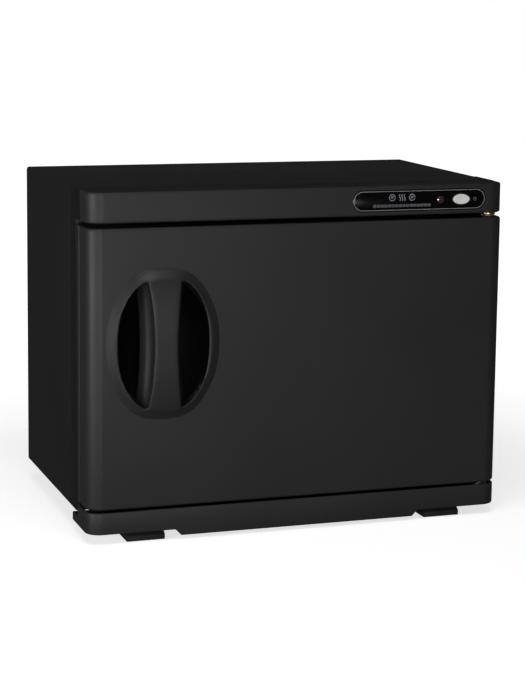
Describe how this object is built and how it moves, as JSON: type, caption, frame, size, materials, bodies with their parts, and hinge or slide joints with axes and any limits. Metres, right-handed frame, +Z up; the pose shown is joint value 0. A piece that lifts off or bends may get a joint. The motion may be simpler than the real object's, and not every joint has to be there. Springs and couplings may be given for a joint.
{
  "type": "hot towel cabinet",
  "caption": "Counter-top heated towel cabinet: steel case, plastic front with side-hung door, oval grip, rocker switch, lift-out wire racks, slide-out drip tray and feet.",
  "frame": {"origin": "on the floor, at the middle of the cabinet's footprint box", "axes": "+X to the right as one faces the door, -Y out of the door towards the user, +Z up"},
  "size_m": [0.45, 0.296, 0.356],
  "materials": {
    "case_paint": "satin black powder coat, fine texture",
    "black_plastic": "moulded, fine spark grain",
    "charcoal_plastic": "moulded, satin with fine grain",
    "nameplate": "gloss black with a printed silver line and pictograms",
    "rocker": "white, semi-gloss",
    "indicator_ring": "bright",
    "indicator_lens": "clear dark red",
    "lamp_glass": "clear",
    "foam": "matte foam",
    "gasket": "matte",
    "zinc_steel": "bright zinc",
    "ferrite": "matte",
    "gold_zinc": "yellow passivated zinc on steel",
    "pin_steel": "ground",
    "nylon": "natural nylon",
    "chamber_aluminium": "rolled, satin",
    "heater_foil": "foil",
    "rack_wire": "electropolished",
    "foot_rubber": "matte",
    "wire_brown": "insulated wire",
    "wire_blue": "insulated wire",
    "wire_green": "insulated wire",
    "wire_tan": "glass-sleeved heater lead"
  },
  "bodies": {
    "cabinet": {"outer_case": "case_paint", "rear_panel": "zinc_steel", "base_pan": "zinc_steel", "front_frame": "black_plastic", "header_fascia": "charcoal_plastic", "nameplate": "nameplate", "switch_housing": "black_plastic", "indicator_bezel": "indicator_ring", "indicator_lens": "indicator_lens", "neon_lamp": "lamp_glass", "catch_magnet": "ferrite", "upper_hinge_bracket": "gold_zinc", "lower_hinge_bracket": "gold_zinc", "upper_hinge_pin": "pin_steel", "lower_hinge_pin": "pin_steel", "inner_chamber": "chamber_aluminium", "chamber_insulation": "foam", "floor_heater": "heater_foil", "rear_heater": "heater_foil", "thermostat": "black_plastic", "thermal_cutout": "black_plastic", "front_foot_left": "foot_rubber", "front_foot_right": "foot_rubber", "rear_foot_left": "foot_rubber", "rear_foot_right": "foot_rubber", "foot_screw_1": "zinc_steel", "foot_screw_2": "zinc_steel", "foot_screw_3": "zinc_steel", "foot_screw_4": "zinc_steel", "rear_screw_1": "zinc_steel", "rear_screw_2": "zinc_steel", "rear_screw_3": "zinc_steel", "rear_screw_4": "zinc_steel", "rear_screw_5": "zinc_steel", "rear_screw_6": "zinc_steel", "power_inlet": "black_plastic", "fuse_holder": "black_plastic", "terminal_block": "nylon", "live_inlet_wire": "wire_brown", "neutral_wire": "wire_blue", "earth_wire": "wire_green", "live_switch_wire": "wire_brown", "switched_wire": "wire_brown", "rear_heater_wire": "wire_tan", "floor_heater_wire": "wire_tan"},
    "door": {"door_shell": "charcoal_plastic", "door_liner": "charcoal_plastic", "door_insulation": "foam", "door_gasket": "gasket", "handle_bezel": "charcoal_plastic", "handle_cup": "charcoal_plastic", "strike_plate": "zinc_steel", "upper_hinge_bush": "nylon", "lower_hinge_bush": "nylon"},
    "power_switch": {"power_rocker": "rocker"},
    "upper_shelf": {"upper_rack": "rack_wire"},
    "lower_shelf": {"lower_rack": "rack_wire"},
    "tray": {"drip_tray": "charcoal_plastic"}
  },
  "joints": [
    {"name": "door_hinge", "type": "hinge", "parent": "cabinet", "child": "door", "pos_m": [0.214, -0.114, 0.178], "axis": [0, 0, 1], "range_deg": [0, 120]},
    {"name": "power_rocker_rock", "type": "hinge", "parent": "cabinet", "child": "power_switch", "pos_m": [0.1742, -0.131, 0.3406], "axis": [0, 0, 1], "range_deg": [0, 12]},
    {"name": "upper_rack_slide", "type": "slide", "parent": "cabinet", "child": "upper_shelf", "axis": [0, -1, 0], "range_m": [0, 0.026]},
    {"name": "lower_rack_slide", "type": "slide", "parent": "cabinet", "child": "lower_shelf", "axis": [0, -1, 0], "range_m": [0, 0.026]},
    {"name": "drip_tray_slide", "type": "slide", "parent": "cabinet", "child": "tray", "axis": [0, -1, 0], "range_m": [0, 0.06]}
  ]
}
